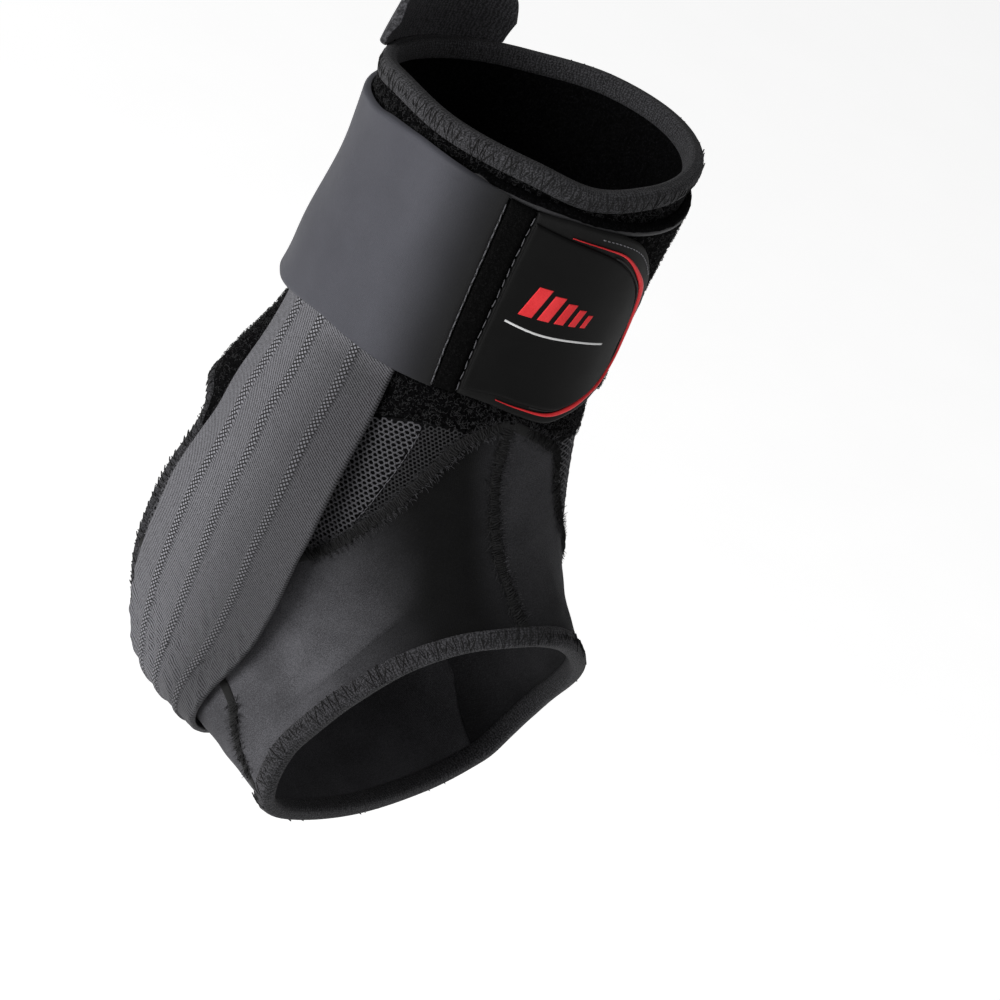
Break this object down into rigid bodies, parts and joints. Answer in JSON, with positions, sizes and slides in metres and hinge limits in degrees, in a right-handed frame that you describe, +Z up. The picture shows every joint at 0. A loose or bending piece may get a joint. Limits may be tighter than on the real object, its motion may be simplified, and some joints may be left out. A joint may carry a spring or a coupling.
{
  "type": "ankle brace",
  "caption": "Soft ankle brace for a right foot: laminated sleeve open at heel and toes, elastic stirrup strap under the sole, wide wrap round the leg with a moulded closing patch.",
  "frame": {"origin": "centre of the wearer's ankle joint, inside the sleeve", "axes": "+Z up along the lower leg, -Y towards the toes, -X towards the outer side of a right foot"},
  "size_m": [0.0969, 0.1104, 0.2092],
  "materials": {
    "loop_fabric": "brushed loop pile, matte black",
    "sleeve_fabric": "laminated stretch jersey over foam, matte",
    "mesh_fabric": "honeycomb spacer mesh, matte",
    "binding_knit": "knitted elastic ribbon with zigzag stitch",
    "seam_thread": "overlocked polyester thread",
    "strap_elastic": "woven elastic webbing with three raised ribs",
    "wrap_fabric": "smooth brushed stretch fabric, charcoal",
    "patch_rubber": "moulded, satin",
    "piping_red": "moulded raised line, satin"
  },
  "bodies": {
    "root": {"cuff": "loop_fabric", "mesh_panel_outer": "mesh_fabric", "foot_panel_outer": "sleeve_fabric", "mesh_panel_inner": "mesh_fabric", "foot_panel_inner": "sleeve_fabric", "sole_panel": "sleeve_fabric", "top_binding": "binding_knit", "foot_binding": "binding_knit", "heel_binding": "binding_knit", "front_seam": "seam_thread", "panel_seam_outer": "seam_thread", "sole_seam_outer": "seam_thread", "panel_seam_inner": "seam_thread", "sole_seam_inner": "seam_thread", "stirrup_strap": "strap_elastic", "inner_wrap": "loop_fabric", "outer_wrap": "wrap_fabric", "wrap_band": "loop_fabric", "closure_patch": "patch_rubber", "edge_piping": "piping_red", "heel_tab": "binding_knit"}
  },
  "joints": []
}
